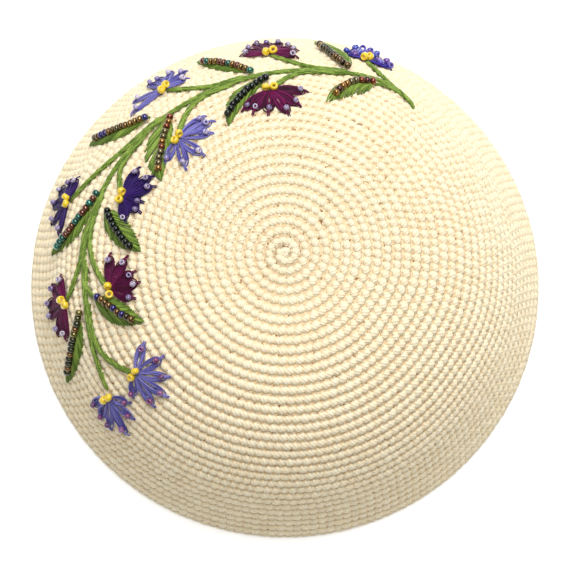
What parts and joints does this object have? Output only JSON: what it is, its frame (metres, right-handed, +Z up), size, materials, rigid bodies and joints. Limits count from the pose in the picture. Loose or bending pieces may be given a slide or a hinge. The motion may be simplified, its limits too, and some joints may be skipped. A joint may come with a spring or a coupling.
{
  "type": "crocheted kippah skullcap",
  "caption": "Round crocheted skullcap worked in a spiral from crown to rim, with an embroidered vine of leaves and fan flowers around one side and an open hollow for the head.",
  "frame": {"origin": "centre of the rim, on the surface that the cap rests on", "axes": "+Z up through the crown's centre, +X to the right and +Y away from the viewer in the picture"},
  "size_m": [0.1728, 0.1728, 0.0561],
  "materials": {
    "cotton_yarn": "matte crocheted cotton",
    "green_thread": "soft sheen embroidery floss",
    "burgundy_thread": "soft sheen embroidery floss",
    "lavender_thread": "soft sheen embroidery floss",
    "indigo_thread": "soft sheen embroidery floss",
    "royal_thread": "soft sheen embroidery floss",
    "yellow_glass": "opaque glass seed beads",
    "bronze_glass": "metallic glass seed beads",
    "violet_glass": "lustred glass seed beads"
  },
  "bodies": {
    "root": {"crown": "cotton_yarn", "vine": "green_thread", "leaf_01": "green_thread", "leaf_02": "green_thread", "leaf_03": "green_thread", "leaf_04": "green_thread", "leaf_05": "green_thread", "leaf_06": "green_thread", "leaf_07": "green_thread", "leaf_08": "green_thread", "leaf_09": "green_thread", "leaf_10": "green_thread", "flower_01": "royal_thread", "flower_02": "burgundy_thread", "flower_03": "burgundy_thread", "flower_04": "lavender_thread", "flower_05": "lavender_thread", "flower_06": "indigo_thread", "flower_07": "indigo_thread", "flower_08": "burgundy_thread", "flower_09": "burgundy_thread", "flower_10": "lavender_thread", "flower_11": "lavender_thread"}
  },
  "joints": []
}
